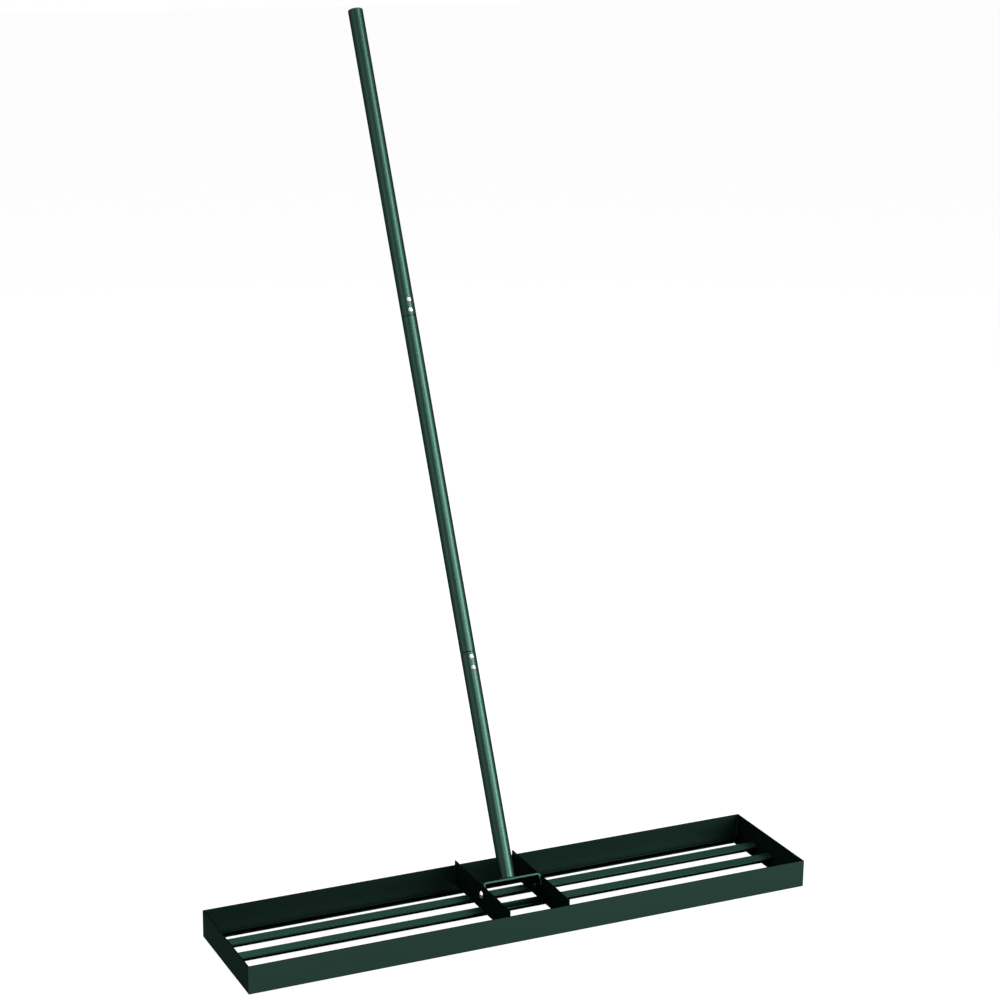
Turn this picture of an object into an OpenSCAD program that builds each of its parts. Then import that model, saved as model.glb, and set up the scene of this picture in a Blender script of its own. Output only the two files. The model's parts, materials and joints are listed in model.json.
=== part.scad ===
// Lawn leveling rake: a folded steel head with leveling bars, and a jointed handle that tilts on a yoke.
// Origin: middle of the head on the ground. +X runs along the head, +Y to the back, +Z up. Millimetres.

/* [Head] */
// Length of the head across the lawn
head_w = 1067; // [800:1:1300]
// Depth of the head, outside the front and back walls
head_d = 237; // [210:1:280]
// Height of the walls
wall_h = 51; // [40:0.5:65]
// Thickness of the sheet that the walls are folded from
sheet = 2; // [1.5:0.1:2.3]
// Width of the sole, the bottom flange that is folded inwards
sole_w = 16; // [12:0.5:24]
// Outer radius of the fold between a wall and its sole
fold_r = 2.5; // [2.4:0.1:5]

/* [Leveling bars] */
// Width of a bar's flat top
bar_w = 25.5; // [20:0.5:32]
// Height of a bar's folded edges
bar_h = 6.5; // [5:0.1:9]
// Thickness of the sheet that the bars are folded from
bar_sheet = 2; // [1.5:0.1:3]
// Outer radius of a bar's folds
bar_fold_r = 2.5; // [2:0.1:4]
// Distance between the middles of neighbouring bars
bar_pitch = 56; // [48:0.5:64]
// Height of a bar's lower edges above the ground
bar_lift = 7.5; // [6:0.5:12]

/* [Centre plates] */
// Thickness of a centre plate
plate_t = 2; // [1.5:0.1:4]
// Clear distance between the two centre plates
plate_gap = 112; // [95:1:140]
// How far a plate's top edge stands above the pivot
plate_rise = 18.5; // [14:0.5:28]

/* [Yoke] */
// Thickness of the strap that the yoke is bent from
yoke_t = 3; // [2:0.1:5]
// Width of that strap, front to back
yoke_depth = 40; // [38:1:56]
// Outer radius of the yoke's bends
yoke_bend_r = 6; // [5:0.5:9]
// Height of the web's top face above the pivot, along the handle
yoke_rise = 20; // [18:0.5:32]
// How far the legs reach below the pivot
leg_drop = 14; // [11:0.5:18]
// Sideways play between a leg and what lies beside it
side_gap = 0.3; // [0.2:0.05:0.6]
// Room between the swinging legs and the bar below them
swing_gap = 0.4; // [0.3:0.1:4]

/* [Handle] */
// Lean of the handle to the back, from upright
lean = 25.9; // [0:0.1:60]
// Distance of the tube's centre line behind the pivot
tube_back = 8; // [0:0.5:14]
// Outer diameter of the tubes
tube_d = 28; // [24:0.5:32]
// Wall of the tubes
tube_wall = 1.2; // [0.9:0.1:2]
// Length of the lower tube
lower_len = 408; // [250:1:700]
// Visible length of the middle tube, without its two necks
middle_len = 628; // [400:1:900]
// Length of the upper tube
upper_len = 593; // [400:1:900]
// Length of the necks that plug into the outer tubes
neck_len = 45; // [42:1:70]
// Length of the taper from a tube's full diameter to its neck
taper_len = 1.5; // [1:0.1:4]
// Play all round between a neck or plug and the tube it sits in
slip_fit = 0.1; // [0.05:0.01:0.3]
// Leg of the fillet weld round the tube's foot
weld_leg = 2; // [1.5:0.1:4]

/* [End plug] */
// Thickness of the plug's lip on the tube's end
lip_t = 2; // [1.5:0.1:4]
// Length of the plug inside the tube
spigot_len = 22; // [14:1:40]
// Wall of the hollow plug
plug_wall = 2; // [1.5:0.1:3]

/* [Pivot bolts] */
// Diameter of the pivot bolts
bolt_d = 6; // [5:0.5:8]
// Diameter of their domed heads
bolt_head_d = 13; // [11:0.1:18]
// Height of their domed heads
bolt_head_h = 3.6; // [2.5:0.1:5]
// How much wider than its shank the square neck under a head is
neck_extra = 0.3; // [0.1:0.05:0.6]
// Width across the flats of the cap nuts
nut_af = 10; // [9.5:0.5:14]
// Height of the cap nuts' hexagon
nut_h = 5; // [4:0.1:8]
// Diameter of the dome that closes a nut
cap_d = 9.2; // [9:0.1:9.4]
// Height of that dome
cap_h = 4; // [3.8:0.1:4.5]
// Outer diameter of the washers
washer_d = 12; // [11.5:0.5:18]
// Thickness of the washers
washer_t = 1.6; // [1:0.1:2.5]
// Play all round between the bolts and the yoke's bores
pivot_fit = 0.08; // [0.02:0.01:0.1]
// How far a bolt reaches past its nut's hexagon, into the dome
bolt_tip = 1; // [0.5:0.1:1.2]

/* [Joint screws] */
// Diameter of the screws through the tube joints
screw_d = 5; // [4:0.5:6]
// Diameter of their domed heads
screw_head_d = 8.8; // [7.5:0.1:12]
// Height of their domed heads
screw_head_h = 2.6; // [2:0.1:4]
// Distance of the first screw from the seam
screw_inset = 9; // [7:0.5:12]
// Distance between the two screws of a joint
screw_pitch = 20; // [16:0.5:24]
// Width across the flats of their nuts
screw_nut_af = 8; // [7:0.5:10]
// Height of their nuts
screw_nut_h = 4; // [3:0.1:6]
// Play all round between a screw and its holes
hole_play = 0.15; // [0.1:0.05:0.5]
// Length of thread that shows past a screw's nut
screw_tip = 1.5; // [0.5:0.1:4]

/* [Hidden] */

$fn = 64;
green = [0.13, 0.24, 0.20];
zinc = [0.90, 0.91, 0.92];
black = [0.06, 0.07, 0.07];
// Overlap that keeps cutting tools clear of the faces they cut
over = 1;

bar_top = bar_lift + bar_h;
inner_w = head_w - 2 * sheet;
inner_d = head_d - 2 * sheet;

// The legs sweep a circle about the pivot, which stays clear of the middle bar
leg_sweep = tube_back + yoke_depth / 2;
pivot_h = bar_top + leg_sweep + swing_gap;
yoke_w = plate_gap - 2 * side_gap;
leg_inner = yoke_w / 2 - yoke_t;
plate_top = pivot_h + plate_rise;

// Stations along the handle, measured from the pivot
lower_seam = yoke_rise + lower_len;
upper_seam = lower_seam + middle_len;
top_end = upper_seam + upper_len;
lower_screws = [for (i = [0, 1]) lower_seam - screw_inset - i * screw_pitch];
upper_screws = [for (i = [0, 1]) upper_seam + screw_inset + i * screw_pitch];

tube_r = tube_d / 2;
tube_bore_r = tube_r - tube_wall;
neck_r = tube_bore_r - slip_fit;
neck_bore_r = neck_r - tube_wall;

// Length of a joint screw's square neck, through both walls of the joint
screw_neck_len = 2 * tube_wall + slip_fit;

// Stations of a pivot bolt, measured outwards from the middle of the head
plate_outer = plate_gap / 2 + plate_t;
washer_face = leg_inner - side_gap;
nut_face = washer_face - washer_t;
bolt_end = nut_face - nut_h - bolt_tip;

// Circle through the corners of a hexagon
function corner_d(flats) = flats / cos(30);

// Radius of the ball that a domed head is cut from
function dome_r(d, h) = (pow(d / 2, 2) + pow(h, 2)) / (2 * h);

// Section of a sheet folded once: an upright leaf, a foot and a round fold between them
module angle_section(leaf, foot, t, r) {
    translate([0, r])
        square([t, leaf - r]);
    translate([r, 0])
        square([foot - r, t]);
    intersection() {
        translate([r, r])
            difference() {
                circle(r);
                circle(r - t);
            }
        square(r);
    }
}

// A wall of the head along X, its outer face on y = 0, with ends mitred to meet its neighbours
module mitred_wall(length) {
    intersection() {
        translate([-length / 2, 0, 0])
            rotate([90, 0, 90])
                linear_extrude(length)
                    angle_section(wall_h, sole_w, sheet, fold_r);
        translate([0, 0, -over])
            linear_extrude(wall_h + 2 * over)
                polygon([[-length / 2, 0], [length / 2, 0],
                         [length / 2 - sole_w, sole_w], [sole_w - length / 2, sole_w]]);
    }
}

module front_wall() {
    color(green)
        translate([0, -head_d / 2, 0])
            mitred_wall(head_w);
}

module back_wall() {
    color(green)
        rotate([0, 0, 180])
            translate([0, -head_d / 2, 0])
                mitred_wall(head_w);
}

module left_end_wall() {
    color(green)
        rotate([0, 0, -90])
            translate([0, -head_w / 2, 0])
                mitred_wall(head_d);
}

module right_end_wall() {
    color(green)
        rotate([0, 0, 90])
            translate([0, -head_w / 2, 0])
                mitred_wall(head_d);
}

// Section of a bar: a flat top with both edges folded down
module bar_section() {
    for (side = [0, 1])
        mirror([side, 0])
            translate([-bar_w / 2, bar_h])
                mirror([0, 1])
                    angle_section(bar_h, bar_w / 2, bar_sheet, bar_fold_r);
}

// A leveling bar between the end walls, its middle at the given depth
module leveling_bar(y) {
    color(green)
        translate([-inner_w / 2, y, bar_lift])
            rotate([90, 0, 90])
                linear_extrude(inner_w)
                    bar_section();
}

module front_bar() {
    leveling_bar(-bar_pitch);
}

module middle_bar() {
    leveling_bar(0);
}

module rear_bar() {
    leveling_bar(bar_pitch);
}

// A plate on the bars from wall to wall, with a square hole for its pivot bolt's neck
module center_plate() {
    color(green)
        difference() {
            translate([plate_gap / 2, -inner_d / 2, bar_top])
                cube([plate_t, inner_d, plate_top - bar_top]);
            on_pivot(plate_gap / 2 - over)
                square_bar(bolt_d + neck_extra + 2 * hole_play, plate_t + 2 * over);
        }
}

module right_center_plate() {
    center_plate();
}

module left_center_plate() {
    mirror([1, 0, 0])
        center_plate();
}

// Puts a right-hand fastener on the pivot line, its own axis pointing outwards
module on_pivot(x) {
    translate([x, 0, pivot_h])
        rotate([0, 90, 0])
            children();
}

// A square bar about its own axis
module square_bar(side, length) {
    translate([-side / 2, -side / 2, 0])
        cube([side, side, length]);
}

// A smooth domed head on a flat seat
module domed_head(d, h) {
    rotate_extrude()
        intersection() {
            translate([0, h - dome_r(d, h)])
                circle(dome_r(d, h));
            square([d / 2, h]);
        }
}

// A hexagon with its upper corners turned off
module hexagon(flats, height) {
    bevel = (corner_d(flats) - flats) / 2;
    intersection() {
        cylinder(d = corner_d(flats), h = height, $fn = 6);
        union() {
            cylinder(d = corner_d(flats) + over, h = height - bevel);
            translate([0, 0, height - bevel])
                cylinder(d1 = corner_d(flats), d2 = flats, h = bevel);
        }
    }
}

module pivot_bolt() {
    color(zinc) {
        on_pivot(plate_outer)
            domed_head(bolt_head_d, bolt_head_h);
        on_pivot(plate_gap / 2)
            square_bar(bolt_d + neck_extra, plate_t);
        on_pivot(bolt_end)
            cylinder(d = bolt_d, h = plate_outer - bolt_end);
    }
}

module right_pivot_bolt() {
    pivot_bolt();
}

module left_pivot_bolt() {
    mirror([1, 0, 0])
        pivot_bolt();
}

module pivot_washer() {
    color(black)
        on_pivot(nut_face)
            difference() {
                cylinder(d = washer_d, h = washer_t);
                translate([0, 0, -over])
                    cylinder(d = bolt_d + 2 * hole_play, h = washer_t + 2 * over);
            }
}

module right_pivot_washer() {
    pivot_washer();
}

module left_pivot_washer() {
    mirror([1, 0, 0])
        pivot_washer();
}

// A cap nut: hexagon and closing dome over a blind bore, seated on the washer
module pivot_nut() {
    color(black)
        on_pivot(nut_face)
            mirror([0, 0, 1])
                difference() {
                    union() {
                        hexagon(nut_af, nut_h);
                        translate([0, 0, nut_h])
                            domed_head(cap_d, cap_h);
                    }
                    translate([0, 0, -over])
                        cylinder(d = bolt_d + 2 * pivot_fit, h = over + nut_h + bolt_tip + side_gap);
                }
}

module right_pivot_nut() {
    pivot_nut();
}

module left_pivot_nut() {
    mirror([1, 0, 0])
        pivot_nut();
}

// The handle's own frame: origin on the pivot, +Z along the handle, +Y to its back
module on_handle() {
    translate([0, 0, pivot_h])
        rotate([-lean, 0, 0])
            children();
}

// The same frame moved onto the tubes' centre line, at a station along it
module on_tube(station) {
    on_handle()
        translate([0, tube_back, station])
            children();
}

// Front view of the yoke: an inverted U with rounded bends
module yoke_front() {
    for (side = [0, 1])
        mirror([side, 0])
            translate([-yoke_w / 2, yoke_rise])
                mirror([0, 1])
                    angle_section(yoke_rise + leg_drop, yoke_w / 2, yoke_t, yoke_bend_r);
}

// Side view of the yoke: square at the web, with rounded lower corners on the legs
module yoke_side() {
    corner = min(leg_drop, yoke_depth / 2);
    front = tube_back - yoke_depth / 2;
    translate([front, corner - leg_drop])
        square([yoke_depth, yoke_rise + leg_drop - corner + over]);
    translate([front + corner, -leg_drop])
        square([yoke_depth - 2 * corner, corner]);
    for (y = [front + corner, front + yoke_depth - corner])
        translate([y, corner - leg_drop])
            circle(corner);
}

module yoke() {
    color(green)
        on_handle()
            difference() {
                intersection() {
                    translate([0, tube_back + yoke_depth / 2, 0])
                        rotate([90, 0, 0])
                            linear_extrude(yoke_depth)
                                yoke_front();
                    translate([-yoke_w / 2 - over, 0, 0])
                        rotate([90, 0, 90])
                            linear_extrude(yoke_w + 2 * over)
                                yoke_side();
                }
                translate([-yoke_w / 2 - over, 0, 0])
                    rotate([0, 90, 0])
                        cylinder(d = bolt_d + 2 * pivot_fit, h = yoke_w + 2 * over);
            }
}

// Fillet weld, a round bead between the yoke's web and the tube's foot
module foot_weld() {
    color(green)
        on_tube(yoke_rise)
            rotate_extrude()
                translate([tube_r, 0])
                    intersection() {
                        circle(weld_leg);
                        square(weld_leg);
                    }
}

// Holes through a tube: square at its front for the screws' necks, round at its back
module screw_holes(stations, seat) {
    for (s = stations)
        translate([0, 0, s - seat]) {
            rotate([90, 0, 0])
                square_bar(screw_d + neck_extra + 2 * hole_play, tube_r + over);
            rotate([-90, 0, 0])
                cylinder(d = screw_d + 2 * hole_play, h = tube_r + over);
        }
}

// A plain tube from one station to another
module plain_tube(from, to) {
    difference() {
        cylinder(r = tube_r, h = to - from);
        translate([0, 0, -over])
            cylinder(r = tube_bore_r, h = to - from + 2 * over);
    }
}

module lower_tube() {
    color(green)
        on_tube(yoke_rise)
            difference() {
                plain_tube(yoke_rise, lower_seam);
                screw_holes(lower_screws, yoke_rise);
            }
}

// Half section of the middle tube: full diameter between two necks
module necked_section() {
    bore_taper = taper_len + tube_wall;
    polygon([[neck_bore_r, -neck_len], [neck_r, -neck_len],
             [neck_r, 0], [tube_r, taper_len],
             [tube_r, middle_len - taper_len], [neck_r, middle_len],
             [neck_r, middle_len + neck_len], [neck_bore_r, middle_len + neck_len],
             [neck_bore_r, middle_len - tube_wall], [tube_bore_r, middle_len - bore_taper],
             [tube_bore_r, bore_taper], [neck_bore_r, tube_wall]]);
}

module middle_tube() {
    color(green)
        on_tube(lower_seam)
            difference() {
                rotate_extrude()
                    necked_section();
                screw_holes(concat(lower_screws, upper_screws), lower_seam);
            }
}

module upper_tube() {
    color(green)
        on_tube(upper_seam)
            difference() {
                plain_tube(upper_seam, top_end);
                screw_holes(upper_screws, upper_seam);
            }
}

// Moulded plug: a lip with a rounded rim, and a hollow spigot inside the tube
module end_plug() {
    rim = lip_t / 2;
    color(black)
        on_tube(top_end)
            rotate_extrude() {
                square([tube_r - rim, lip_t]);
                square([tube_r, lip_t - rim]);
                translate([tube_r - rim, lip_t - rim])
                    intersection() {
                        circle(rim);
                        square(rim);
                    }
                translate([neck_r - plug_wall, -spigot_len])
                    square([plug_wall, spigot_len]);
            }
}

// Domed screw from the tube's front, long enough to take its nut at the back
module joint_screw() {
    rotate([90, 0, 0]) {
        translate([0, 0, tube_r])
            domed_head(screw_head_d, screw_head_h);
        translate([0, 0, tube_r - screw_neck_len])
            square_bar(screw_d + neck_extra, screw_neck_len);
        translate([0, 0, -tube_r - screw_nut_h - screw_tip])
            cylinder(d = screw_d, h = tube_d + screw_nut_h + screw_tip);
    }
}

// Nut at the tube's back, on the screw's end
module joint_nut() {
    rotate([-90, 0, 0])
        translate([0, 0, tube_r])
            difference() {
                hexagon(screw_nut_af, screw_nut_h);
                translate([0, 0, -over])
                    cylinder(d = screw_d + 2 * slip_fit, h = screw_nut_h + 2 * over);
            }
}

module lower_joint_screws() {
    color(zinc)
        for (s = lower_screws)
            on_tube(s)
                joint_screw();
}

module upper_joint_screws() {
    color(zinc)
        for (s = upper_screws)
            on_tube(s)
                joint_screw();
}

module lower_joint_nuts() {
    color(zinc)
        for (s = lower_screws)
            on_tube(s)
                joint_nut();
}

module upper_joint_nuts() {
    color(zinc)
        for (s = upper_screws)
            on_tube(s)
                joint_nut();
}

front_wall();
back_wall();
left_end_wall();
right_end_wall();
front_bar();
middle_bar();
rear_bar();
left_center_plate();
right_center_plate();
left_pivot_bolt();
right_pivot_bolt();
left_pivot_washer();
right_pivot_washer();
left_pivot_nut();
right_pivot_nut();
yoke();
foot_weld();
lower_tube();
middle_tube();
upper_tube();
end_plug();
lower_joint_screws();
upper_joint_screws();
lower_joint_nuts();
upper_joint_nuts();
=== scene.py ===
import json
import math

import bmesh
import bpy
from mathutils import Matrix, Vector


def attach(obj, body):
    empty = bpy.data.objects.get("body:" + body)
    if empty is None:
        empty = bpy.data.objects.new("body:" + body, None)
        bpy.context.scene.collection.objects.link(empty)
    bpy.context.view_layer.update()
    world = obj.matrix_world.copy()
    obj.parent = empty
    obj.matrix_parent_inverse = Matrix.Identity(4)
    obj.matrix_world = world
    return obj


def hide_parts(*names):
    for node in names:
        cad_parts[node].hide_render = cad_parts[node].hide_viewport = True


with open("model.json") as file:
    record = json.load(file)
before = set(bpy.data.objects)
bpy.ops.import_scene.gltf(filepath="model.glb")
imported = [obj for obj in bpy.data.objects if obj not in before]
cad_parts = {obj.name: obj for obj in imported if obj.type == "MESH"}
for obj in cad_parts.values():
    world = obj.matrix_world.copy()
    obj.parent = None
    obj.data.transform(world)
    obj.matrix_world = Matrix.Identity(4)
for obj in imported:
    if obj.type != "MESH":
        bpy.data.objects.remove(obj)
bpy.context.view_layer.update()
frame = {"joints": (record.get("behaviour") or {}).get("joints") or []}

# Head walls: four strips of 2 mm sheet steel, each folded inwards along its lower edge for a sole.
# The ends are mitred so that the strips close to a frame, and all of it is powder coated dark green.
wall_length, wall_depth, wall_height = 1.067, 0.237, 0.051
wall_sheet, sole_width, wall_fold = 0.002, 0.016, 0.0025
sheet_edge, upward, sharp_turn = 0.0002, 0.1, math.radians(32)


def powder_coat():
    """Satin dark green powder coat with a fine orange peel and a faint drift in shade."""
    coat = bpy.data.materials.new("green_powder_coat")
    coat.use_nodes = True
    nodes, links = coat.node_tree.nodes, coat.node_tree.links
    shader = nodes["Principled BSDF"]
    shader.inputs["Metallic"].default_value = 0.98
    shader.inputs["Specular IOR Level"].default_value = 0.0
    shader.inputs["Specular Tint"].default_value = (0.34, 0.34, 0.34, 1)
    place = nodes.new("ShaderNodeTexCoord")
    drift = nodes.new("ShaderNodeTexNoise")
    drift.inputs["Scale"].default_value = 9.0
    drift.inputs["Detail"].default_value = 3.0
    shade = nodes.new("ShaderNodeValToRGB")
    shade.color_ramp.elements[0].position = 0.3
    shade.color_ramp.elements[0].color = (0.0143, 0.0341, 0.0266, 1)
    shade.color_ramp.elements[1].position = 0.7
    shade.color_ramp.elements[1].color = (0.0149, 0.0352, 0.0276, 1)
    # Painted shade: faces marked by the attribute below are mixed towards a near black green, so that
    # they look shaded.
    cut = nodes.new("ShaderNodeAttribute")
    cut.attribute_name = "painted_shade"
    thin = nodes.new("ShaderNodeMix")
    thin.data_type = "RGBA"
    thin.inputs["B"].default_value = (0.003, 0.008, 0.006, 1)
    peel = nodes.new("ShaderNodeTexNoise")
    peel.inputs["Scale"].default_value = 420.0
    peel.inputs["Detail"].default_value = 2.0
    satin = nodes.new("ShaderNodeMapRange")
    satin.inputs["To Min"].default_value = 0.35
    satin.inputs["To Max"].default_value = 0.40
    bump = nodes.new("ShaderNodeBump")
    bump.inputs["Strength"].default_value = 0.03
    bump.inputs["Distance"].default_value = 0.0003
    links.new(place.outputs["Object"], drift.inputs["Vector"])
    links.new(place.outputs["Object"], peel.inputs["Vector"])
    links.new(drift.outputs["Fac"], shade.inputs["Fac"])
    links.new(cut.outputs["Fac"], thin.inputs["Factor"])
    links.new(shade.outputs["Color"], thin.inputs["A"])
    links.new(thin.outputs["Result"], shader.inputs["Base Color"])
    links.new(peel.outputs["Fac"], satin.inputs["Value"])
    links.new(satin.outputs["Result"], shader.inputs["Roughness"])
    links.new(peel.outputs["Fac"], bump.inputs["Height"])
    links.new(bump.outputs["Normal"], shader.inputs["Normal"])
    return coat


def arc(y, z, radius, start, end, steps):
    """Points of an arc in a section, angles in degrees."""
    turns = [math.radians(start + (end - start) * i / steps) for i in range(steps + 1)]
    return [(y + radius * math.cos(t), z + radius * math.sin(t)) for t in turns]


def settle(piece):
    """Keeps what the modifiers made as a plain mesh."""
    seen = piece.evaluated_get(bpy.context.evaluated_depsgraph_get())
    made = bpy.data.meshes.new_from_object(seen)
    piece.modifiers.clear()
    piece.data = made


def skin(name, rings, finish, wrap=False):
    """A closed skin over rings of points, capped at both ends or wrapped round on itself."""
    form = bmesh.new()
    rows = [[form.verts.new(p) for p in ring] for ring in rings]
    for low, high in zip(rows, rows[1:] + rows[:1] if wrap else rows[1:]):
        for i in range(len(low)):
            j = (i + 1) % len(low)
            form.faces.new((low[i], low[j], high[j], high[i]))
    if not wrap:
        form.faces.new(rows[0][::-1])
        form.faces.new(rows[-1])
    bmesh.ops.recalc_face_normals(form, faces=form.faces[:])
    mesh = bpy.data.meshes.new(name)
    form.to_mesh(mesh)
    form.free()
    mesh.shade_smooth()
    mesh.set_sharp_from_angle(angle=sharp_turn)
    mesh.materials.append(finish)
    piece = bpy.data.objects.new(name, mesh)
    bpy.context.scene.collection.objects.link(piece)
    weigh = piece.modifiers.new("flat_faces_stay_flat", "WEIGHTED_NORMAL")
    weigh.keep_sharp = True
    settle(piece)
    return piece


def mark_painted_shade(piece, how_shaded):
    """Marks how much painted shade each face gets, most on cut edges, folds, soles and welds."""
    mark = piece.data.attributes.new("painted_shade", "FLOAT", "FACE")
    mark.data.foreach_set("value", [float(how_shaded(face)) for face in piece.data.polygons])


green_coat = powder_coat()
wall_section = (arc(wall_fold, wall_fold, wall_fold, 180, 270, 10)
                + arc(sole_width - sheet_edge, sheet_edge, sheet_edge, 270, 360, 3)
                + arc(sole_width - sheet_edge, wall_sheet - sheet_edge, sheet_edge, 0, 90, 3)
                + arc(wall_fold, wall_fold, wall_fold - wall_sheet, 270, 180, 6)
                + arc(wall_sheet - sheet_edge, wall_height - sheet_edge, sheet_edge, 0, 90, 3)
                + arc(sheet_edge, wall_height - sheet_edge, sheet_edge, 90, 180, 3))
for wall_name, length, reach, turn in (("front_wall", wall_length, wall_depth, 0),
                                       ("back_wall", wall_length, wall_depth, 180),
                                       ("left_end_wall", wall_depth, wall_length, -90),
                                       ("right_end_wall", wall_depth, wall_length, 90)):
    spot = Matrix.Rotation(math.radians(turn), 4, "Z") @ Matrix.Translation((0, -reach / 2, 0))
    ends = [[spot @ Vector((side * (length / 2 - y), y, z)) for y, z in wall_section]
            for side in (-1, 1)]
    wall = skin(wall_name + "_sheet", ends, green_coat)
    # Painted shade: the faces of the wall that look up, its top edge, the sole and the inner fold, are
    # painted dark.
    mark_painted_shade(wall, lambda face: face.normal.z > upward)
    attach(wall, "head")
    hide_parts(wall_name)

# Leveling bars: three channels rolled from 2 mm strip, flat on top with both edges turned down.
# They run from end wall to end wall, one pitch apart, and are welded in clear of the ground.
bar_length, bar_width, bar_height, bar_sheet = 1.063, 0.0255, 0.0065, 0.002
bar_fold, bar_edge, bar_pitch, bar_lift = 0.0025, 0.0004, 0.056, 0.0075
flat_top = 0.98


def row_tree():
    """One part repeated in a straight row."""
    tree = bpy.data.node_groups.new("row_of_parts", "GeometryNodeTree")
    tree.interface.new_socket("Geometry", in_out="OUTPUT", socket_type="NodeSocketGeometry")
    for label, kind in (("Part", "Geometry"), ("Count", "Int"),
                        ("Step", "Vector"), ("Finish", "Material")):
        tree.interface.new_socket(label, in_out="INPUT", socket_type="NodeSocket" + kind)
    start = tree.nodes.new("NodeGroupInput")
    line = tree.nodes.new("GeometryNodeMeshLine")
    line.mode = "OFFSET"
    put = tree.nodes.new("GeometryNodeInstanceOnPoints")
    real = tree.nodes.new("GeometryNodeRealizeInstances")
    paint = tree.nodes.new("GeometryNodeSetMaterial")
    end = tree.nodes.new("NodeGroupOutput")
    tree.links.new(start.outputs["Count"], line.inputs["Count"])
    tree.links.new(start.outputs["Step"], line.inputs["Offset"])
    tree.links.new(line.outputs["Mesh"], put.inputs["Points"])
    tree.links.new(start.outputs["Part"], put.inputs["Instance"])
    tree.links.new(put.outputs["Instances"], real.inputs["Geometry"])
    tree.links.new(real.outputs["Geometry"], paint.inputs["Geometry"])
    tree.links.new(start.outputs["Finish"], paint.inputs["Material"])
    tree.links.new(paint.outputs["Geometry"], end.inputs["Geometry"])
    return tree


def set_inputs(piece, tree, **values):
    """Runs a tree on a piece with its named inputs, and keeps the result as a plain mesh."""
    run = piece.modifiers.new(tree.name, "NODES")
    run.node_group = tree
    for socket in tree.interface.items_tree:
        if socket.in_out == "INPUT" and socket.name in values:
            run[socket.identifier] = values[socket.name]
    settle(piece)


parts_in_row = row_tree()
half_bar = (arc(bar_width / 2 - bar_fold, bar_height - bar_fold, bar_fold, 90, 0, 8)
            + arc(bar_width / 2 - bar_edge, bar_edge, bar_edge, 0, -90, 3)
            + arc(bar_width / 2 - bar_sheet + bar_edge, bar_edge, bar_edge, 270, 180, 3)
            + arc(bar_width / 2 - bar_fold, bar_height - bar_fold, bar_fold - bar_sheet, 0, 90, 4))
bar_section = half_bar + [(-y, z) for y, z in half_bar[::-1]]
bar_ends = [[Vector((side * bar_length / 2, y - bar_pitch, z + bar_lift)) for y, z in bar_section]
            for side in (-1, 1)]
bars = skin("leveling_bars", bar_ends, green_coat)
# Painted shade: all but the flat tops of the bars, their turned-down edges, folds and undersides, are
# painted dark.
mark_painted_shade(bars, lambda face: face.normal.z < flat_top)
set_inputs(bars, parts_in_row, Count=3, Step=(0, bar_pitch, 0), Finish=green_coat)
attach(bars, "head")
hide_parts("front_bar", "middle_bar", "rear_bar")

# Centre plates: two flat 2 mm plates across the bars, from the front wall to the back wall.
# They stand a little above the walls and carry the pivot bolts between them.
plate_inner, plate_sheet, plate_half = 0.056, 0.002, 0.1165
plate_bottom, plate_top, plate_corner, plate_face = 0.014, 0.0609, 0.001, 0.8


def rounded_rectangle(half_y, half_z, radius, steps=3):
    """Corner points of a rectangle about the origin, with round corners."""
    y, z = half_y - radius, half_z - radius
    return (arc(y, z, radius, 0, 90, steps) + arc(-y, z, radius, 90, 180, steps)
            + arc(-y, -z, radius, 180, 270, steps) + arc(y, -z, radius, 270, 360, steps))


plate_mid, plate_rise = (plate_top + plate_bottom) / 2, (plate_top - plate_bottom) / 2
for side, plate_name in ((-1, "left_center_plate"), (1, "right_center_plate")):
    rings = []
    for out, inset in ((0, sheet_edge), (sheet_edge, 0),
                       (plate_sheet - sheet_edge, 0), (plate_sheet, sheet_edge)):
        outline = rounded_rectangle(plate_half - inset, plate_rise - inset, plate_corner - inset)
        rings.append([Vector((side * (plate_inner + out), y, z + plate_mid)) for y, z in outline])
    plate = skin(plate_name + "_sheet", rings, green_coat)
    # Painted shade: the narrow rim of each plate, along its top, bottom and ends, is painted dark.
    mark_painted_shade(plate, lambda face: abs(face.normal.x) < plate_face)
    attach(plate, "head")
    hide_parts(plate_name)

# Weld beads of the head: short seams laid in the inside corners before coating.
# They join the walls at the mitres, the bars to the end walls, and the plates to the walls and bars.
bead_size, bead_step, bead_shade = 0.0015, 0.0017, 0.8
corner_seam_low, plate_seam_low, seam_high = 0.005, 0.018, 0.048
bar_end_seam, bar_plate_seam = 0.009, 0.008


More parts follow.
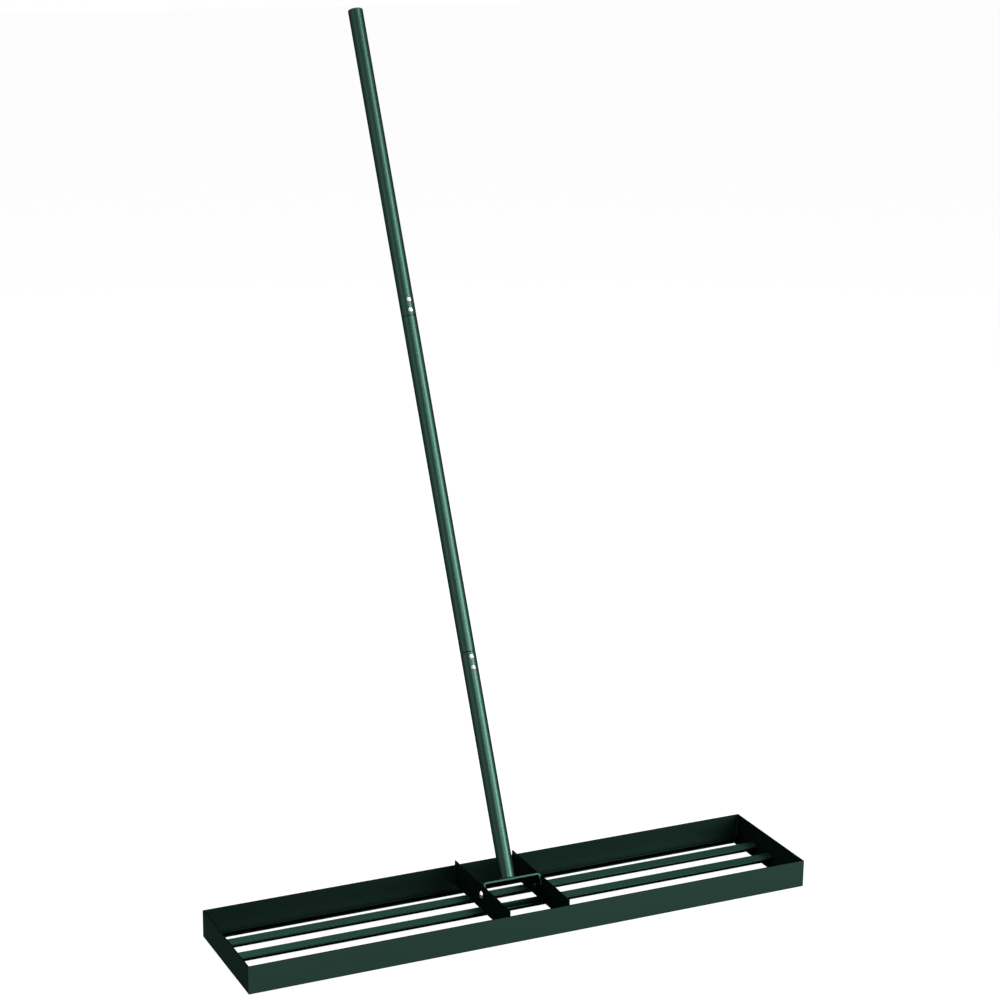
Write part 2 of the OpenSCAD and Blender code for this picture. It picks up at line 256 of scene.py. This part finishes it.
def weld_tree():
    """A bead of overlapping puddles along the lines of a mesh."""
    tree = bpy.data.node_groups.new("weld_bead", "GeometryNodeTree")
    tree.interface.new_socket("Geometry", in_out="OUTPUT", socket_type="NodeSocketGeometry")
    for label, kind in (("Lines", "Geometry"), ("Size", "Float"),
                        ("Step", "Float"), ("Finish", "Material")):
        tree.interface.new_socket(label, in_out="INPUT", socket_type="NodeSocket" + kind)
    start = tree.nodes.new("NodeGroupInput")
    path = tree.nodes.new("GeometryNodeMeshToCurve")
    spaced = tree.nodes.new("GeometryNodeResampleCurve")
    spaced.mode = "LENGTH"
    puddle = tree.nodes.new("GeometryNodeMeshUVSphere")
    puddle.inputs["Segments"].default_value = 12
    puddle.inputs["Rings"].default_value = 8
    along = tree.nodes.new("GeometryNodeInputTangent")
    aim = tree.nodes.new("FunctionNodeAlignRotationToVector")
    uneven = tree.nodes.new("FunctionNodeRandomValue")
    uneven.data_type = "FLOAT_VECTOR"
    uneven.inputs["Min"].default_value = (0.9, 0.9, 0.75)
    uneven.inputs["Max"].default_value = (1.1, 1.1, 0.95)
    uneven.inputs["Seed"].default_value = 7
    put = tree.nodes.new("GeometryNodeInstanceOnPoints")
    real = tree.nodes.new("GeometryNodeRealizeInstances")
    smooth = tree.nodes.new("GeometryNodeSetShadeSmooth")
    paint = tree.nodes.new("GeometryNodeSetMaterial")
    end = tree.nodes.new("NodeGroupOutput")
    tree.links.new(start.outputs["Lines"], path.inputs["Mesh"])
    tree.links.new(path.outputs["Curve"], spaced.inputs["Curve"])
    tree.links.new(start.outputs["Step"], spaced.inputs["Length"])
    tree.links.new(start.outputs["Size"], puddle.inputs["Radius"])
    tree.links.new(along.outputs["Tangent"], aim.inputs["Vector"])
    tree.links.new(spaced.outputs["Curve"], put.inputs["Points"])
    tree.links.new(puddle.outputs["Mesh"], put.inputs["Instance"])
    tree.links.new(aim.outputs["Rotation"], put.inputs["Rotation"])
    tree.links.new(uneven.outputs["Value"], put.inputs["Scale"])
    tree.links.new(put.outputs["Instances"], real.inputs["Geometry"])
    tree.links.new(real.outputs["Geometry"], smooth.inputs["Geometry"])
    tree.links.new(smooth.outputs["Geometry"], paint.inputs["Geometry"])
    tree.links.new(start.outputs["Finish"], paint.inputs["Material"])
    tree.links.new(paint.outputs["Geometry"], end.inputs["Geometry"])
    return tree


def weld(name, lines, size, step):
    """Beads along the given lines of points."""
    points, edges = [], []
    for line in lines:
        edges += [(len(points) + i, len(points) + i + 1) for i in range(len(line) - 1)]
        points += line
    mesh = bpy.data.meshes.new(name)
    mesh.from_pydata(points, edges, [])
    mesh.materials.append(green_coat)
    piece = bpy.data.objects.new(name, mesh)
    bpy.context.scene.collection.objects.link(piece)
    set_inputs(piece, weld_bead, Size=size, Step=step, Finish=green_coat)
    # Painted shade: every bead is painted mostly dark, as shade in the corner it lies in.
    mark_painted_shade(piece, lambda face: bead_shade)
    return piece


weld_bead = weld_tree()
corner_x, corner_y = wall_length / 2 - wall_sheet, wall_depth / 2 - wall_sheet
plate_outer, bar_top = plate_inner + plate_sheet, bar_lift + bar_height
head_seams = []
for x in (-1, 1):
    for y in (-1, 1):
        for seam_x, low in ((corner_x, corner_seam_low), (plate_outer, plate_seam_low)):
            head_seams.append([(x * seam_x, y * corner_y, low), (x * seam_x, y * corner_y, seam_high)])
    for y in (-bar_pitch, 0, bar_pitch):
        for seam_x, half in ((corner_x, bar_end_seam), (plate_outer, bar_plate_seam)):
            head_seams.append([(x * seam_x, y - half, bar_top), (x * seam_x, y + half, bar_top)])
head_welds = weld("head_weld_beads", head_seams, bead_size, bead_step)
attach(head_welds, "head")

# Yoke: one strap of 3 mm steel, bent to an inverted U with legs that hang beside the centre plates.
# The legs are rounded at the bottom and bored for the pivot, and the handle's foot stands on the web.
pivot = Vector(frame["joints"][0]["pos_m"])
handle_lean = math.radians(25.9)
tube_back, yoke_rise, yoke_half, yoke_sheet = 0.008, 0.020, 0.0557, 0.003
yoke_bend, leg_drop, strap_half, bend_step = 0.006, 0.014, 0.020, 9
strap_side, strap_edge_shade = 0.5, 0.5
handle_frame = Matrix.Translation(pivot) @ Matrix.Rotation(-handle_lean, 4, "X")

bend_mid = yoke_bend - yoke_sheet / 2
leg_mid = yoke_half - yoke_sheet / 2
strap_line = [(-leg_mid, -leg_drop * math.cos(t), strap_half - leg_drop * (1 - math.sin(t)), 180)
              for t in (math.radians(a) for a in range(0, 91, bend_step))]
strap_line += [(yoke_bend - yoke_half + bend_mid * math.cos(math.radians(a)),
                yoke_rise - yoke_bend + bend_mid * math.sin(math.radians(a)), strap_half, a)
               for a in range(180, 89, -bend_step)]
strap_line += [(-x, z, half, 180 - a) for x, z, half, a in strap_line[::-1]]
strap_rings = []
for x, z, half, a in strap_line:
    out = Vector((math.cos(math.radians(a)), 0, math.sin(math.radians(a))))
    strap_rings.append([handle_frame @ (Vector((x, tube_back + y, z)) + out * n)
                        for y, n in rounded_rectangle(half, yoke_sheet / 2, sheet_edge)])
yoke = skin("yoke_strap", strap_rings, green_coat)
strap_way = handle_frame.to_3x3() @ Vector((0, 1, 0))
# Painted shade: the narrow front and back edges of the strap are painted half dark.
mark_painted_shade(yoke, lambda face: strap_edge_shade * (abs(face.normal.dot(strap_way)) > strap_side))
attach(yoke, "handle")
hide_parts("yoke")

# Lower, middle and upper tube: 28 mm steel tube with a 1.2 mm wall, coated before assembly.
# The middle one is necked at both ends and plugs into the others, so a fine groove shows at each seam.
tube_radius, tube_wall, neck_play = 0.014, 0.0012, 0.0001
lower_seam, upper_seam, top_end = 0.428, 1.056, 1.649
neck_length, neck_taper, tube_edge, tube_facets = 0.045, 0.0015, 0.0004, 96
tube_frame = handle_frame @ Matrix.Translation((0, tube_back, 0))


def turned(name, stations, place, finish, wrap=False, count=48):
    """A turned or hexagonal form with rings at the stations (height, radius).

    A radius is a number, or a rule that gives it for an angle."""
    rings = []
    for height, radius in stations:
        ring = []
        for i in range(count):
            t = 2 * math.pi * i / count
            r = radius(t) if callable(radius) else radius
            ring.append(place @ Vector((r * math.cos(t), r * math.sin(t), height)))
        rings.append(ring)
    return skin(name, rings, finish, wrap)


tube_bore = tube_radius - tube_wall
neck_radius = tube_bore - neck_play
neck_bore = neck_radius - tube_wall


def plain_tube(name, low, high):
    """A tube from one station to another, with its outer edges slightly rolled."""
    rim = tube_radius - tube_edge
    stations = [(low + tube_edge - s, r) for r, s in arc(rim, 0, tube_edge, 90, 0, 4)]
    stations += [(high - tube_edge + s, r) for r, s in arc(rim, 0, tube_edge, 0, 90, 4)]
    stations += [(high, tube_bore), (low, tube_bore)]
    return turned(name, stations, tube_frame, green_coat, True, tube_facets)


lower_tube = plain_tube("lower_tube_wall", yoke_rise, lower_seam)
upper_tube = plain_tube("upper_tube_wall", upper_seam, top_end)
neck_out = [(lower_seam - neck_length, neck_radius), (lower_seam, neck_radius),
            (lower_seam + neck_taper, tube_radius), (upper_seam - neck_taper, tube_radius),
            (upper_seam, neck_radius), (upper_seam + neck_length, neck_radius)]
neck_in = [(upper_seam + neck_length, neck_bore), (upper_seam - tube_wall, neck_bore),
           (upper_seam - neck_taper - tube_wall, tube_bore),
           (lower_seam + neck_taper + tube_wall, tube_bore),
           (lower_seam + tube_wall, neck_bore), (lower_seam - neck_length, neck_bore)]
middle_tube = turned("middle_tube_wall", neck_out + neck_in, tube_frame, green_coat, True, tube_facets)
for tube, node in ((lower_tube, "lower_tube"), (middle_tube, "middle_tube"), (upper_tube, "upper_tube")):
    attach(tube, "handle")
    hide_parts(node)

# Foot weld: a bead all round the tube's foot, laid on the yoke's web before coating.
# It carries the whole handle, so it is heavier than the head's seams.
foot_ring_radius, foot_ring_lift, foot_bead, foot_step = 0.0144, 0.0004, 0.0015, 0.0017
foot_line = [tube_frame @ Vector((foot_ring_radius * math.cos(t), foot_ring_radius * math.sin(t),
                                  yoke_rise + foot_ring_lift))
             for t in (2 * math.pi * i / tube_facets for i in range(tube_facets + 1))]
foot_weld = weld("foot_weld_bead", [foot_line], foot_bead, foot_step)
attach(foot_weld, "handle")
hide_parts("foot_weld")

# Pivot bolts: domed 6 mm steel bolts, bright zinc plated, pushed through the plates from outside.
# A square neck in the plate keeps each from turning while the yoke swings on its round shank.
bolt_radius, bolt_head_radius, bolt_head_height = 0.003, 0.0065, 0.0036
bolt_end, bolt_thread, thread_depth, thread_chamfer = 0.0448, 0.010, 0.0004, 0.0007
head_rim, seat_share, crown_turn = 0.0002, 0.96, 0.02


def plating(name, dull, bright):
    """Electroplated steel: a thin cloudy finish with fine marks of the tumbling drum."""
    plate_finish = bpy.data.materials.new(name)
    plate_finish.use_nodes = True
    nodes, links = plate_finish.node_tree.nodes, plate_finish.node_tree.links
    shader = nodes["Principled BSDF"]
    shader.inputs["Metallic"].default_value = 1.0
    place = nodes.new("ShaderNodeTexCoord")
    cloud = nodes.new("ShaderNodeTexNoise")
    cloud.inputs["Scale"].default_value = 260.0
    cloud.inputs["Detail"].default_value = 3.0
    tone = nodes.new("ShaderNodeValToRGB")
    tone.color_ramp.elements[0].position = 0.3
    tone.color_ramp.elements[0].color = (*dull, 1)
    tone.color_ramp.elements[1].position = 0.7
    tone.color_ramp.elements[1].color = (*bright, 1)
    marks = nodes.new("ShaderNodeTexNoise")
    marks.inputs["Scale"].default_value = 1400.0
    gloss = nodes.new("ShaderNodeMapRange")
    gloss.inputs["To Min"].default_value = 0.26
    gloss.inputs["To Max"].default_value = 0.38
    links.new(place.outputs["Object"], cloud.inputs["Vector"])
    links.new(place.outputs["Object"], marks.inputs["Vector"])
    links.new(cloud.outputs["Fac"], tone.inputs["Fac"])
    links.new(tone.outputs["Color"], shader.inputs["Base Color"])
    links.new(marks.outputs["Fac"], gloss.inputs["Value"])
    links.new(gloss.outputs["Result"], shader.inputs["Roughness"])
    return plate_finish


def dome(seat, radius, height, steps=10):
    """Stations of a smooth domed head on its seat, from the rim to the crown."""
    ball = (radius ** 2 + height ** 2) / (2 * height)
    widest = math.asin(radius / ball)
    stations = [(seat, radius * seat_share)]
    for turn in [widest * (1 - i / steps) for i in range(steps)] + [crown_turn]:
        up = ball * math.cos(turn) - ball + height
        stations.append((seat + head_rim + (height - head_rim) * up / height, ball * math.sin(turn)))
    return stations


def thread(start, length, radius, pitch=0.001):
    """Stations of a cut thread as seen from the side, its first turn chamfered."""
    root = radius - thread_depth
    stations = [(start, radius - thread_chamfer), (start + thread_depth, root)]
    for i in range(1, int(length / pitch)):
        crest = start + i * pitch
        stations += [(crest - pitch / 4, root), (crest, radius)]
        stations += [(crest + pitch / 8, radius), (crest + 3 * pitch / 8, root)]
    return stations + [(start + length, radius)]


def pivot_side(side):
    """Frame of the fasteners at one side of the pivot, its Z pointing outwards."""
    return Matrix.Translation(pivot) @ Matrix.Rotation(side * math.pi / 2, 4, "Y")


bright_zinc = plating("bright_zinc", (0.86, 0.865, 0.87), (0.93, 0.932, 0.935))
bolt_line = thread(bolt_end, bolt_thread, bolt_radius) + [(plate_outer, bolt_radius)]
bolt_line += dome(plate_outer, bolt_head_radius, bolt_head_height)
for side, word in ((-1, "left"), (1, "right")):
    bolt = turned(word + "_domed_bolt", bolt_line, pivot_side(side), bright_zinc)
    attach(bolt, "head")
    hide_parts(word + "_pivot_bolt")

# Pivot washers and cap nuts: pressed washers and hexagon nuts closed by a dome, black zinc plated.
# They draw the plates, the yoke's legs and the bolts together from inside the yoke.
washer_radius, washer_bore, washer_sheet, washer_edge = 0.006, 0.00315, 0.0016, 0.0002
nut_face, nut_flats, nut_height, cap_radius, cap_height = 0.0508, 0.010, 0.005, 0.0046, 0.004
nut_play, bore_past_nut, closed = 0.00008, 0.0013, 0.0001
nut_bore = bolt_radius + nut_play
face_share, corner_share = 0.49, 0.535


def hexagon(flats, limit=None):
    """Radius of a hexagon at an angle, turned off to a limit where there is one."""
    def radius(t):
        r = flats / 2 / math.cos(t % (math.pi / 3) - math.pi / 6)
        return min(r, limit) if limit else r
    return radius


def hexagon_nut(flats, height, bore):
    """Stations of a nut from its seat, with the corners turned off at both ends."""
    bevel = flats * (1 / math.cos(math.pi / 6) - 1) / 2
    face, corner = hexagon(flats, flats * face_share), hexagon(flats, flats * corner_share)
    full = hexagon(flats)
    return [(0, bore), (0, face), (bevel / 2, corner), (bevel, full),
            (height - bevel, full), (height - bevel / 2, corner), (height, face)]


black_zinc = plating("black_zinc", (0.007, 0.007, 0.0075), (0.013, 0.013, 0.0135))
washer_line = [(0, washer_bore), (0, washer_radius - washer_edge), (washer_edge, washer_radius),
               (washer_sheet - washer_edge, washer_radius), (washer_sheet, washer_radius - washer_edge),
               (washer_sheet, washer_bore)]
blind_bore = [(nut_height + bore_past_nut, closed), (nut_height + bore_past_nut, nut_bore)]
cap_nut_line = blind_bore + hexagon_nut(nut_flats, nut_height, nut_bore)
cap_nut_line += dome(nut_height, cap_radius, cap_height)
for side, word in ((-1, "left"), (1, "right")):
    seat = pivot_side(side) @ Matrix.Translation((0, 0, nut_face))
    washer = turned(word + "_washer", washer_line, seat, black_zinc, True)
    nut = turned(word + "_cap_nut", cap_nut_line, seat @ Matrix.Rotation(math.pi, 4, "X"), black_zinc)
    for piece, node in ((washer, word + "_pivot_washer"), (nut, word + "_pivot_nut")):
        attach(piece, "head")
        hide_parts(node)

# End plug: black moulded plastic, its lip on the tube's end and a hollow spigot pressed into the bore.
# The lip is as wide as the tube, with a rounded rim and a slightly crowned top.
lip, lip_round, lip_crown = 0.002, 0.0009, 0.0002
spigot, plug_wall, spigot_chamfer, spigot_lead = 0.022, 0.002, 0.0004, 0.0008


def moulded_plastic():
    """Black plastic with the fine grain of a spark-eroded mould."""
    plastic = bpy.data.materials.new("black_plastic")
    plastic.use_nodes = True
    nodes, links = plastic.node_tree.nodes, plastic.node_tree.links
    shader = nodes["Principled BSDF"]
    shader.inputs["Specular IOR Level"].default_value = 0.3
    place = nodes.new("ShaderNodeTexCoord")
    grain = nodes.new("ShaderNodeTexNoise")
    grain.inputs["Scale"].default_value = 1600.0
    tone = nodes.new("ShaderNodeValToRGB")
    tone.color_ramp.elements[0].color = (0.008, 0.009, 0.009, 1)
    tone.color_ramp.elements[1].color = (0.015, 0.016, 0.016, 1)
    rough = nodes.new("ShaderNodeMapRange")
    rough.inputs["To Min"].default_value = 0.5
    rough.inputs["To Max"].default_value = 0.65
    bump = nodes.new("ShaderNodeBump")
    bump.inputs["Strength"].default_value = 0.2
    bump.inputs["Distance"].default_value = 0.0001
    links.new(place.outputs["Object"], grain.inputs["Vector"])
    links.new(grain.outputs["Fac"], tone.inputs["Fac"])
    links.new(tone.outputs["Color"], shader.inputs["Base Color"])
    links.new(grain.outputs["Fac"], rough.inputs["Value"])
    links.new(rough.outputs["Result"], shader.inputs["Roughness"])
    links.new(grain.outputs["Fac"], bump.inputs["Height"])
    links.new(bump.outputs["Normal"], shader.inputs["Normal"])
    return plastic


black_plastic = moulded_plastic()
plug_bore, plug_foot = neck_radius - plug_wall, top_end - spigot
plug_line = [(top_end, closed), (top_end, plug_bore), (plug_foot, plug_bore),
             (plug_foot, neck_radius - spigot_chamfer), (plug_foot + spigot_lead, neck_radius),
             (top_end, neck_radius), (top_end, tube_radius)]
lip_arc = arc(tube_radius - lip_round, lip - lip_crown - lip_round, lip_round, 0, 90, 6)
plug_line += [(top_end + h, r) for r, h in lip_arc]
plug_line += [(top_end + lip, tube_radius / 2), (top_end + lip, closed)]
plug = turned("end_plug_moulding", plug_line, tube_frame, black_plastic, False, tube_facets)
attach(plug, "handle")
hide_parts("end_plug")

# Joint screws and nuts: two domed 5 mm screws through each tube joint, dull zinc plated.
# Their heads are in front, square necks sit in the tubes, and hexagon nuts draw them up at the back.
screw_radius, screw_head_radius, screw_head_height = 0.0025, 0.0044, 0.0026
screw_inset, screw_pitch, screw_thread, screw_tip = 0.009, 0.020, 0.007, 0.0015
screw_nut_flats, screw_nut_height, screw_nut_play = 0.008, 0.004, 0.0001
screw_nut_bore = screw_radius + screw_nut_play
dull_zinc = plating("dull_zinc", (0.36, 0.362, 0.364), (0.44, 0.442, 0.444))
screw_end = -tube_radius - screw_nut_height - screw_tip
screw_line = thread(screw_end, screw_thread, screw_radius) + [(tube_radius, screw_radius)]
screw_line += dome(tube_radius, screw_head_radius, screw_head_height)
screw_nut_line = hexagon_nut(screw_nut_flats, screw_nut_height, screw_nut_bore)
screw_nut_line += [(screw_nut_height, screw_nut_bore)]
tube_way = tube_frame.to_3x3() @ Vector((0, 0, 1))
for word, station, run in (("lower", lower_seam - screw_inset, -screw_pitch),
                           ("upper", upper_seam + screw_inset, screw_pitch)):
    spot = tube_frame @ Matrix.Translation((0, 0, station))
    front = spot @ Matrix.Rotation(math.pi / 2, 4, "X")
    back = spot @ Matrix.Rotation(-math.pi / 2, 4, "X") @ Matrix.Translation((0, 0, tube_radius))
    screws = turned(word + "_domed_screws", screw_line, front, dull_zinc)
    nuts = turned(word + "_screw_nuts", screw_nut_line, back, dull_zinc, True)
    for piece, node in ((screws, word + "_joint_screws"), (nuts, word + "_joint_nuts")):
        set_inputs(piece, parts_in_row, Count=2, Step=tube_way * run, Finish=dull_zinc)
        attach(piece, "handle")
        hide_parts(node)

# Floor, light and camera: a plain white floor, soft studio lamps and the view of the photograph.
# A dark card under the head is seen by reflections alone, and keeps the inside of the walls dark.
# The camera stands to the left of the head and looks slightly down, with a long lens.
floor_reach, card_lift, aim_back = 20, 0.0004, 0.2


def flat_sheet(name, reach_x, reach_y, height):
    """A level rectangle about the middle of the head."""
    sheet = bpy.data.meshes.new(name)
    sheet.from_pydata([(-reach_x, -reach_y, height), (reach_x, -reach_y, height),
                       (reach_x, reach_y, height), (-reach_x, reach_y, height)], [], [(0, 1, 2, 3)])
    piece = bpy.data.objects.new(name, sheet)
    bpy.context.scene.collection.objects.link(piece)
    return piece


def seen_directly(tree):
    """One for the rays that show the background: straight from the camera, mirrored or through glass."""
    path = tree.nodes.new("ShaderNodeLightPath")
    first = tree.nodes.new("ShaderNodeMath")
    first.operation = "MAXIMUM"
    both = tree.nodes.new("ShaderNodeMath")
    both.operation = "MAXIMUM"
    tree.links.new(path.outputs["Is Camera Ray"], first.inputs[0])
    tree.links.new(path.outputs["Is Glossy Ray"], first.inputs[1])
    tree.links.new(first.outputs["Value"], both.inputs[0])
    tree.links.new(path.outputs["Is Transmission Ray"], both.inputs[1])
    return both.outputs["Value"]


white_floor = bpy.data.materials.new("white_floor")
white_floor.use_nodes = True
floor_tree = white_floor.node_tree
floor_tree.nodes.remove(floor_tree.nodes["Principled BSDF"])
matt = floor_tree.nodes.new("ShaderNodeBsdfDiffuse")
matt.inputs["Color"].default_value = (0.8, 0.8, 0.8, 1)
glow = floor_tree.nodes.new("ShaderNodeEmission")
glow.inputs["Strength"].default_value = 1.05
dim = floor_tree.nodes.new("ShaderNodeBsdfDiffuse")
dim.inputs["Color"].default_value = (0.15, 0.15, 0.15, 1)
shown = floor_tree.nodes.new("ShaderNodeMixShader")
shown.inputs["Fac"].default_value = 0.93
blend = floor_tree.nodes.new("ShaderNodeMixShader")
floor_tree.links.new(matt.outputs["BSDF"], shown.inputs[1])
floor_tree.links.new(glow.outputs["Emission"], shown.inputs[2])
floor_tree.links.new(seen_directly(floor_tree), blend.inputs["Fac"])
floor_tree.links.new(dim.outputs["BSDF"], blend.inputs[1])
floor_tree.links.new(shown.outputs["Shader"], blend.inputs[2])
floor_tree.links.new(blend.outputs["Shader"], floor_tree.nodes["Material Output"].inputs["Surface"])
floor = flat_sheet("floor", floor_reach, floor_reach, 0)
floor.data.materials.append(white_floor)

shade_card = bpy.data.materials.new("shade_card")
shade_card.use_nodes = True
card_shader = shade_card.node_tree.nodes["Principled BSDF"]
card_shader.inputs["Base Color"].default_value = (0.01, 0.01, 0.01, 1)
shade_under_head = flat_sheet("shade_under_head", corner_x, corner_y, card_lift)
shade_under_head.data.materials.append(shade_card)
shade_under_head.visible_camera = False
shade_under_head.visible_diffuse = False
shade_under_head.visible_shadow = False

world = bpy.data.worlds.new("studio")
bpy.context.scene.world = world
world.use_nodes = True
room = world.node_tree
soft = room.nodes["Background"]
soft.inputs["Color"].default_value = (1, 1, 1, 1)
soft.inputs["Strength"].default_value = 0.05
paper = room.nodes.new("ShaderNodeBackground")
paper.inputs["Color"].default_value = (1, 1, 1, 1)
either = room.nodes.new("ShaderNodeMixShader")
room.links.new(seen_directly(room), either.inputs["Fac"])
room.links.new(soft.outputs["Background"], either.inputs[1])
room.links.new(paper.outputs["Background"], either.inputs[2])
room.links.new(either.outputs["Shader"], room.nodes["World Output"].inputs["Surface"])

for lamp_name, spot, aim_height, size, power in (("key", (2.1, -2.45, 2.62), 2.62, (1.4, 4.65), 512),
                                                 ("front", (-0.15, -4.2, 2.6), 0.5, (1.1, 3.6), 145),
                                                 ("fill", (-3.8, -0.4, 1.9), 0.5, (1.6, 3.4), 36),
                                                 ("top", (0.5, 1.9, 3.6), 0.5, (4.5, 3.2), 330)):
    light = bpy.data.lights.new(lamp_name, "AREA")
    light.shape = "RECTANGLE"
    light.size, light.size_y = size
    light.energy = power
    lamp = bpy.data.objects.new(lamp_name, light)
    lamp.location = spot
    aim = Vector((0, aim_back, aim_height)) - Vector(spot)
    lamp.rotation_euler = aim.to_track_quat("-Z", "Y").to_euler()
    lamp.visible_camera = False
    bpy.context.scene.collection.objects.link(lamp)

camera_place = (-1.72709, -3.61645, 1.87750)
yaw, pitch, roll = math.radians(25.13), math.radians(15.59), math.radians(0.66)
ahead = Vector((math.sin(yaw) * math.cos(pitch), math.cos(yaw) * math.cos(pitch), -math.sin(pitch)))
right = Vector((math.cos(yaw), -math.sin(yaw), 0))
above = right.cross(ahead)
level = math.cos(roll) * right + math.sin(roll) * above
tall = math.cos(roll) * above - math.sin(roll) * right
lens = bpy.data.cameras.new("photo_view")
lens.sensor_width = 36
lens.lens = 88.31
lens.clip_end = 60
camera = bpy.data.objects.new("photo_view", lens)
turned_to_view = Matrix((level, tall, -ahead)).transposed().to_4x4()
camera.matrix_world = Matrix.Translation(camera_place) @ turned_to_view
bpy.context.scene.collection.objects.link(camera)
bpy.context.scene.camera = camera
bpy.context.scene.view_settings.view_transform = "Standard"
